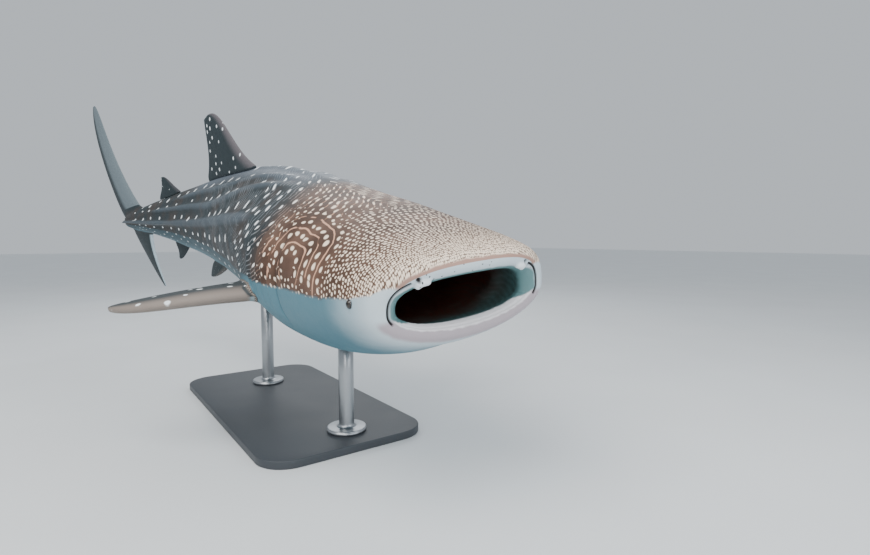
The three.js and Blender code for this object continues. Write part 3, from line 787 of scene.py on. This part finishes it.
# A colour from 0 to 255 as the eye sees it, made linear for the shader
def colour(red, green, blue):
    parts = [c / 255 for c in (red, green, blue)]
    return tuple(c / 12.92 if c <= 0.04045 else ((c + 0.055) / 1.055) ** 2.4 for c in parts) + (1.0,)


# Some of these mixes stand in for light: the lit grey of the back's top and the ridge grey are painted light,
# the teal of the belly is partly painted shade, and the pit colour also serves as painted shade in the
# hollows
skinMixes = {
    "brown": (70, 48, 35), "brownLight": (100, 74, 60), "cream": (250, 230, 208),
    "pinkLine": (214, 166, 138), "rim": (168, 134, 120), "lipPale": (196, 208, 214), "grey": (36, 46, 50),
    "greyBrown": (56, 50, 46), "sunlitBackGrey": (98, 108, 120), "white": (244, 250, 252),
    "fineLine": (140, 148, 154), "ridge": (84, 96, 106), "belly": (80, 120, 134),
    "bellyPale": (160, 180, 190), "lowFlank": (38, 60, 68), "lowerLip": (170, 160, 166),
    "lipWhite": (236, 232, 234), "throat": (92, 36, 20), "throatWall": (96, 132, 134),
    "throatFold": (60, 70, 62), "pit": (24, 20, 20), "flapWhite": (232, 238, 242), "fin": (36, 48, 52),
    "finPink": (106, 100, 104), "caudalPale": (104, 116, 122), "pectoralEdge": (134, 124, 116),
    "pectoralTop": (56, 62, 64), "finUnder": (140, 158, 164), "lobeEdge": (196, 214, 222),
}
skinColours = {name: colour(*mix) for name, mix in skinMixes.items()}


# Spots in rows: one row for each whole step of rows, with spots this many mils apart along it. A spot is an
# ellipse round the nearest point of its row, long in the ratio of stretch. Spots differ in size, wander a
# little from the middle of their row, and some are left out.
def spots(paint, rows, along, shade, rowSize, spacing, radius, stretch, keep=1.0, vary=0.4, edge=0.3,
          jitter=0.4):
    row = rows.math("FLOOR")
    rowGap, rowShift = 4, 0.37  # keeps rows out of each other's cells, and their spots out of step
    lattice = paint.join(rows + row * rowGap - (0.5 - jitter / 2), along / spacing + row * rowShift)
    cell = paint.node("ShaderNodeTexVoronoi", {"voronoi_dimensions": "2D", "feature": "F1"},
                      {"Vector": lattice, "Scale": 1.0, "Randomness": jitter}, "Position")
    across, onward, _ = paint.split(paint.vector("SUBTRACT", lattice, cell))
    far = paint.vector("LENGTH", paint.join(across * rowSize, onward * spacing * (1 / stretch)), (0, 0, 0))
    first, second, _ = paint.split(cell.at("Color"))
    reach = radius * (1 - vary / 2 + vary * first) * shade
    if keep < 1:
        reach = reach * paint.fall(keep - 0.01, keep + 0.01, second)
    return paint.fall(reach * (1 - edge), reach * (1 + edge) + 0.01, far)


# Thin lines at whole steps of a value
def lines(paint, x, width, edge=0.35):
    away = x.math("PINGPONG", 0.5)
    return paint.fall(width * (1 - edge), width * (1 + edge), away)


# Rows, spacing and size of each kind of spot in mils. Head spots grow with their ring's pitch instead.
spotKinds = {
    "swirl": {"rowSize": 12, "spacing": 8.2, "radius": 1.75, "stretch": 1.35, "vary": 0.25, "jitter": 0.28},
    "crown": {"rowSize": 9, "spacing": 9, "radius": 1.5, "stretch": 1.6},
    "shoulder": {"rowSize": 15, "spacing": 14, "radius": 1.9, "stretch": 1.6, "keep": 0.85},
    "flank": {"rowSize": 20, "spacing": 31, "radius": 2.9, "stretch": 0.9, "keep": 0.92, "edge": 0.25,
              "jitter": 0.24},
    "fin": {"rowSize": 14, "spacing": 12, "radius": 1.5, "stretch": 1.4, "keep": 0.5, "jitter": 0.8},
    "pit": {"rowSize": 3.6, "spacing": 5.6, "radius": 0.5, "stretch": 1, "keep": 0.3, "jitter": 0.9},
}
headRings = {"growth": 0.041, "start": 27, "spacing": 1.1, "radius": 0.14, "least": 0.4, "stretch": 1.2}
cheek = {"back": 117, "around": 97, "pitch": 12, "square": 2.6, "rings": (3.9, 4.5), "down": (100, 110),
         "rear": (140, 156)}
fineRows = 5.5  # mils between the fine lines of the shoulders


def sharkPaint():
    paint = Paint("shark_skin", Specular_IOR_Level=0.32)
    fade, fall, layers, most, noise = paint.fade, paint.fall, paint.layers, paint.most, paint.noise
    c = skinColours
    back, girth, fold = paint.value("skinPlace")
    upperSide, outer, place = paint.value("borders")
    # Painted light and shade from the relief: a highlight on the ridges, shade in the gill clefts and in the
    # hollows
    ridge, cleft, hollowShade = paint.value("relief")
    rowStep, liningEdge, pale = paint.value("rows")
    chord, _, finMask = paint.value("finPlace")
    dorsal, pectoral, caudal = paint.value("finKind")
    room = paint.coords()
    around = abs(girth)
    drift = noise(room, 5, 2)
    gate = noise(room, 8, 1)
    slow = drift - 0.5
    quick = noise(room, 16, 2) - 0.5
    wobble = slow * 14
    small = quick * 4
    onBody = 1 - finMask

    # Zones of the pattern, in mils back and round from the top
    slant = back + 50 - (around - 64) * (around - 64) * 0.0122
    headEdge = back - 30 * fall(15, 60, around) + wobble
    headZone = fall(160, 182, headEdge)
    aside = (back - cheek["back"]) / cheek["pitch"]
    below = (around - cheek["around"]) / cheek["pitch"]
    power = cheek["square"]
    fromSwirl = (abs(aside).math("POWER", power) + abs(below).math("POWER", power)).math("POWER", 1 / power)
    ringStep = fromSwirl + slow + small * 0.03
    swirl = fall(*cheek["rings"], ringStep)
    swirl = swirl * fall(*cheek["down"], around) * fall(*cheek["rear"], back)
    crown = fade(98, 122, back + wobble) * fall(44, 58, around + small * 2) * headZone
    shoulder = fade(162, 180, headEdge) * fall(255, 285, back)
    flank = fade(250, 280, back) * fade(-34, -8, upperSide) * fall(752, 775, back)

    # Head spots: rings round the snout, wider apart backwards, with pieces of line between them
    growth = headRings["growth"]
    rings = (back + headRings["start"]).math("LOGARITHM", math.exp(growth)) + slow * 3 + small * 0.15
    pitch = paint.math("POWER", math.exp(growth), rings.math("FLOOR") + 0.5) * growth
    headShade = headZone * (1 - swirl) * (1 - crown)
    headSpots = spots(paint, rings, girth + small * 0.5, headShade, pitch, pitch * headRings["spacing"],
                      pitch * headRings["radius"] + headRings["least"], headRings["stretch"])
    headLines = (lines(paint, rings, 0.085) * fade(0.55, 0.6, gate) * headShade
                 * fade(70, 96, back) * fade(56, 70, around))

    # Cheek swirl: rings of spots with thin lines between them
    turn = paint.math("ARCTAN2", below, aside)
    ringTurn = turn * ((ringStep + 0.5).math("FLOOR") * 12) + girth.math("SIGN") * 300
    swirlSpots = spots(paint, ringStep + 0.5, ringTurn, swirl, **spotKinds["swirl"])
    swirlLines = (lines(paint, ringStep + 0.5, 0.055) * swirl * fade(0.4, 0.44, gate)
                  * fade(0.9, 1.1, ringStep))

    # Crown and shoulder: dashes along slanted rows with fine lines between. Flank: rows of white spots.
    slantStep = slant / spotKinds["crown"]["rowSize"] + small * 0.08 + slow * 1.5
    crownSpots = spots(paint, slantStep, girth, crown, **spotKinds["crown"])
    crownLines = lines(paint, slantStep + 0.5, 0.06) * fade(0.44, 0.5, gate) * crown
    wideStep = slant / spotKinds["shoulder"]["rowSize"] + small * 0.05 + slow * 0.8
    shoulderSpots = spots(paint, wideStep, girth, shoulder, **spotKinds["shoulder"])
    rowSpots = spots(paint, rowStep + 0.5, back, flank * onBody, **spotKinds["flank"])
    fineStep = slant / fineRows + slow * 2.6 + small * 0.14
    fine = (lines(paint, fineStep, 0.12) * fade(0.42, 0.55, noise(room, 9, 2))
            * fall(400, 520, back))

    # The upper side from the brown head to the grey body, with painted light on the top of the back and the
    # ridges
    brown = paint.blend(fade(0.35, 0.7, drift), c["brown"], c["brownLight"])
    # Painted light: the brown grows paler towards the snout tip, as if sunlit
    brown = paint.blend(fall(0, 60, back) * 0.6, brown, c["brownLight"])
    # Painted light: the top of the back is lighter as if lit from above, and the ridges get a painted
    # highlight
    paintedTopLight = fall(16, 46, around) * fade(190, 260, back) * fall(520, 600, back)
    grey = layers(c["grey"], (fade(0.35, 0.75, drift), c["greyBrown"]),
                  (paintedTopLight * 0.7, c["sunlitBackGrey"]), (fade(0.25, 1, ridge) * 0.55, c["ridge"]))
    warm = fall(156, 210, headEdge)
    lineColour = paint.blend(warm, c["fineLine"], c["pinkLine"])
    spotColour = paint.blend(warm, c["white"], c["cream"])
    allLines = most(headLines, swirlLines, crownLines * 0.8)
    allSpots = most(headSpots, swirlSpots, crownSpots, shoulderSpots, rowSpots)
    rimZone = fall(0.3, 0.6, outer + quick * 0.3)
    upper = layers(grey, (fall(152, 200, headEdge), brown),
                   (fine * fade(160, 185, headEdge) * 0.5, lineColour),
                   (allLines * 0.9, lineColour), (allSpots, spotColour), (rimZone * onBody, c["rim"]))

    # The pale belly, painted a darker teal behind the head as shade on the underside, whose upper border
    # darkens along the flank
    lowFlank = fade(-38, -6, upperSide) * fade(200, 280, back)
    lower = layers(c["belly"], (fall(24, 66, back + wobble), c["bellyPale"]),
                   (fall(8, 34, back), c["lipPale"]), (lowFlank * 0.85, c["lowFlank"]),
                   (rowSpots * lowFlank * 0.7, c["white"]))

    # The lips, and the mouth with its throat
    lipBand = fall(-0.04, 0.04, outer)
    lowerLip = fade(94, 106, fold) * fall(9, 9.6, place + quick * 0.4)
    lowerWhite = fade(90, 102, fold) * fall(7.45, 7.8, place + quick * 0.5)
    inMouth = fall(-0.25, 0.2, liningEdge + quick * 0.5)
    throat = fall(3.4, 5.4, place + slow * 2)
    filters = lines(paint, girth / 5 + small * 0.25, 0.3, 0.9) * fall(5.4, 6.4, place)
    mouth = layers(c["throatWall"], (throat, c["throat"]), (filters * 0.4, c["throatFold"]))
    pits = spots(paint, place * 1.6, girth, lipBand * (1 - inMouth), **spotKinds["pit"])

    # Fins: pink front edge on the dorsal fins, a pale upper lobe, paired fins pale below
    offRoot = fade(0.9, 1, finMask)
    upperLobe = fade(0.2, 0.8, caudal) * offRoot
    lowerLobe = fall(-0.8, -0.2, caudal) * offRoot
    upFace = fade(-0.3, 0.3, fold)
    paired = layers(c["finUnder"], (upFace, c["pectoralTop"]),
                    (fall(0.05, 0.3, chord) * offRoot, c["pectoralEdge"]))
    spotted = most(dorsal, pectoral) * most(upFace, 1 - pectoral)
    finSpots = spots(paint, back / spotKinds["fin"]["rowSize"], girth, finMask * spotted, **spotKinds["fin"])
    finSkin = layers(c["fin"], (fade(0.3, 0.75, drift), c["grey"]),
                     (fall(0.02, 0.22, chord) * offRoot * dorsal * 0.8, c["finPink"]),
                     (fall(0.45, 0.75, chord) * upperLobe, c["caudalPale"]),
                     (fall(0.03, 0.1, chord) * lowerLobe, c["lobeEdge"]),
                     (pectoral, paired), (finSpots, c["white"]))

    # Painted shade: the gill clefts are darkened grey, and the hollows of the nostrils, breathing holes and
    # furrows are darkened with the pit colour
    skin = layers(lower, (fade(-1.6, 1.6, upperSide + small * 0.8), upper), (lipBand, c["lipPale"]),
                  (lowerLip, c["lowerLip"]), (lowerWhite, c["lipWhite"]), (inMouth, mouth),
                  (pale, c["flapWhite"]), (pits * fall(84, 92, fold), c["pit"]),
                  (fade(0.15, 0.85, finMask), finSkin), (cleft * 0.7, c["grey"]), (hollowShade, c["pit"]))
    paint.feed("Base Color", skin)
    paint.feed("Roughness", 0.54 + quick * 0.2 - inMouth * 0.14)
    grain = noise(room, 260, 3, 0.6)
    wrinkles = noise(room, 38, 3, 0.55)
    paint.bump(grain * 0.25 + wrinkles * 0.5 + allSpots * 0.1, 0.004, 0.5)
    return paint.material


skinMaterial = sharkPaint()
skin = fuseSkin()
skin.data.materials.clear()
skin.data.materials.append(skinMaterial)
flesh = [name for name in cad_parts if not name.startswith(("eye", "stand"))]
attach(skin, "root")
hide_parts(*flesh)
print("skin made,", len(skin.data.polygons), "faces")


# A globe from rows of circles about an axis: a sphere whose front swells a little into the cornea
def makeEye(hand, material):
    normal = skinNormal(eye["place"], hand * eye["angle"])
    middle = skinPoint(eye["place"], hand * eye["angle"]) - normal * eye["sunk"]
    first = np.cross(normal, (0, 0, 1.0))
    first /= np.linalg.norm(first)
    second = np.cross(normal, first)
    rows = np.linspace(0.02, np.pi - 0.02, 40)
    tip, turn = np.meshgrid(rows, np.linspace(0, 2 * np.pi, 48, endpoint=False), indexing="ij")
    radius = eye["radius"] * eye["fit"] * (1 + eye["cornea"] * bell(tip, 0, 0.5))
    grid = (middle + (radius * np.cos(tip))[..., None] * normal
            + (radius * np.sin(tip) * np.cos(turn))[..., None] * first
            + (radius * np.sin(tip) * np.sin(turn))[..., None] * second)
    name = "eye_right_globe" if hand > 0 else "eye_left_globe"
    piece = makePiece(name, *closedTube(grid, {"globe": np.stack([tip, turn, 0 * tip], -1)}), material)
    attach(piece, "root")
    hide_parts("eye_right" if hand > 0 else "eye_left")


# Rings of colour by the angle from the front: dark pupil, brown iris, dark rim
def eyePaint():
    paint = Paint("eye_gloss", Roughness=0.12, Coat_Weight=0.3, Coat_Roughness=0.08)
    tip, _, _ = paint.value("globe")
    iris = paint.blend(paint.noise(paint.coords(), 400.0, 2.0), colour(30, 26, 22), colour(62, 54, 44))
    paint.feed("Base Color", paint.layers(iris, (paint.fade(0.62, 0.7, tip), colour(20, 20, 22)),
                                          (paint.fall(0.34, 0.4, tip), colour(5, 5, 6))))
    return paint.material


eyeMaterial = eyePaint()
for hand in (1, -1):
    makeEye(hand, eyeMaterial)
print("eyes made")

standBase = {"length": 2.6, "width": 1.3, "thick": 0.06, "corner": 0.24, "bevel": 0.008,
             "insets": [0.22, 0.1]}
standRod = {"radius": 0.058, "foot": 0.15, "footHeight": 0.034, "fillet": 0.026, "edge": 0.004,
            "round": 0.009, "gap": 0.0003, "core": 0.02, "bands": (0.3, 0.5), "sunk": 0.05,
            "backs": {"front": 196, "rear": 410}}


# The plate's edge: a rounded rectangle carried up a rounded side, drawn in towards the middle at both ends
def makeBase(material):
    steps = 12
    quarter = np.linspace(0, np.pi / 2, steps)
    halfLength, halfWidth, corner = standBase["length"] / 2, standBase["width"] / 2, standBase["corner"]
    turns = np.concatenate([quarter + k * np.pi / 2 for k in range(4)])
    middleX = np.repeat([1, -1, -1, 1], steps) * (halfLength - corner)
    middleY = np.repeat([1, 1, -1, -1], steps) * (halfWidth - corner)
    lift = np.linspace(0, np.pi / 2, 7)
    bevel, thick = standBase["bevel"], standBase["thick"]
    inset = np.concatenate([standBase["insets"], bevel * (1 - np.sin(lift)), bevel * (1 - np.cos(lift)),
                            standBase["insets"][::-1]])
    height = np.concatenate([[0, 0], bevel * (1 - np.cos(lift)), thick - bevel * (1 - np.sin(lift)),
                             [thick, thick]])
    reach = corner - inset[:, None]
    grid = np.stack(np.broadcast_arrays(middleX + reach * np.cos(turns), middleY + reach * np.sin(turns),
                                        height[:, None]), -1)
    piece = makePiece("stand_base_plate", *closedTube(grid), material)
    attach(piece, "root")
    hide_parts("stand_base")


# A turned rod: radius against height, with a rounded flange and a fillet at its foot
def makeRod(name, back, material):
    place = inRoom(onSpine(float(back), 0.0, 0.0))
    bottom = standBase["thick"] + standRod["gap"]
    r, f, h, t = standRod["radius"], standRod["foot"], standRod["footHeight"], standRod["fillet"]
    edge, shoulder = standRod["edge"], bottom + h * 0.75
    arc = np.linspace(0, np.pi / 2, 8)
    profile = np.concatenate([
        [[standRod["core"], bottom], [f - edge, bottom], [f, bottom + edge], [f, shoulder]],
        np.stack([f - standRod["round"] * (1 - np.cos(arc)), shoulder + h * 0.25 * np.sin(arc)], -1),
        np.stack([r + t * (1 - np.sin(arc)), bottom + h + t * (1 - np.cos(arc))], -1),
        [[r, height] for height in (*standRod["bands"], topUnderBelly(back))],
    ])
    turn = np.linspace(0, 2 * np.pi, 64, endpoint=False)
    out = profile[:, :1]
    grid = np.stack(np.broadcast_arrays(place[0] + out * np.cos(turn), place[1] + out * np.sin(turn),
                                        profile[:, 1:]), -1)
    piece = makePiece(name + "_turned", *closedTube(grid), material)
    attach(piece, "root")
    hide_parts(name)


# Height of the belly over a rod, a little inside the skin
def topUnderBelly(back):
    return skinPoint(placeAt(back), 180)[2] + standRod["sunk"]


# Fine matt paint, with slow clouds of tone and small specks
def basePaint():
    paint = Paint("base_paint", Metallic=0.0)
    room = paint.coords()
    speck = paint.noise(room, 900.0, 2.0)
    cloud = paint.noise(room, 3.0, 3.0)
    paint.feed("Base Color", paint.blend(cloud * 0.5 + speck * 0.3, colour(46, 50, 55), colour(66, 71, 77)))
    paint.feed("Roughness", 0.42 + cloud * 0.14)
    paint.bump(speck, 0.0006, 0.6)
    return paint.material


# Steel with fine marks of brushing round the rod
def steelPaint():
    paint = Paint("brushed_steel", Metallic=1.0)
    room = paint.coords()
    drawn = paint.noise(paint.vector("MULTIPLY", room, (1, 1, 60)), 14.0, 4.0, 0.6)
    paint.feed("Base Color", paint.blend(drawn, colour(150, 154, 158), colour(178, 181, 184)))
    paint.feed("Roughness", 0.26 + drawn * 0.16)
    paint.bump(drawn, 0.0004, 0.4)
    return paint.material


makeBase(basePaint())
steel = steelPaint()
for end, back in standRod["backs"].items():
    makeRod(f"stand_rod_{end}", back, steel)
print("stand made")


# Pale floor that runs to the horizon
def makeFloor():
    paint = Paint("studio_floor", Roughness=0.6)
    tone = paint.noise(paint.coords(), 0.7, 2.0)
    paint.feed("Base Color", paint.blend(tone, colour(222, 225, 227), colour(232, 235, 236)))
    size = 60.0
    corners = [(-size, -size, 0), (size, -size, 0), (size, size, 0), (-size, size, 0)]
    floor = makePiece("studio_floor", corners, [(0, 1, 2, 3)], None, paint.material)


# Each lamp's place, aim, size in metres, power in watts and tint
lamps = {
    "key": ((3.0, -5.0, 8.5), (-0.5, 0, 1.2), 7.0, 820, (1.0, 0.98, 0.95)),
    "fill": ((7.5, 2.0, 4.0), (0, 0, 1.0), 6.0, 260, (0.92, 0.96, 1.0)),
    "front": ((8.0, -5.0, 3.4), (1.0, 0, 1.2), 3.0, 150, (1.0, 0.98, 0.96)),
    "rear": ((-7.0, 4.0, 7.0), (-2, 0, 1.0), 6.0, 300, (0.95, 0.98, 1.0)),
}
sky = {"tint": (0.80, 0.86, 0.92, 1), "strength": 0.72}


# Square soft lamps that face their aims, and an even sky
def makeLights():
    for name, (place, aim, size, power, tint) in lamps.items():
        light = bpy.data.lights.new(name, "AREA")
        light.size = size
        light.energy = power
        light.color = tint
        holder = bpy.data.objects.new(name, light)
        holder.location = place
        holder.rotation_euler = (Vector(place) - Vector(aim)).to_track_quat("Z", "Y").to_euler()
        bpy.context.scene.collection.objects.link(holder)
    world = bpy.data.worlds.new("studio")
    world.use_nodes = True
    background = world.node_tree.nodes["Background"]
    background.inputs["Color"].default_value = sky["tint"]
    background.inputs["Strength"].default_value = sky["strength"]
    bpy.context.scene.world = world


makeFloor()
makeLights()
print("floor and lights made")
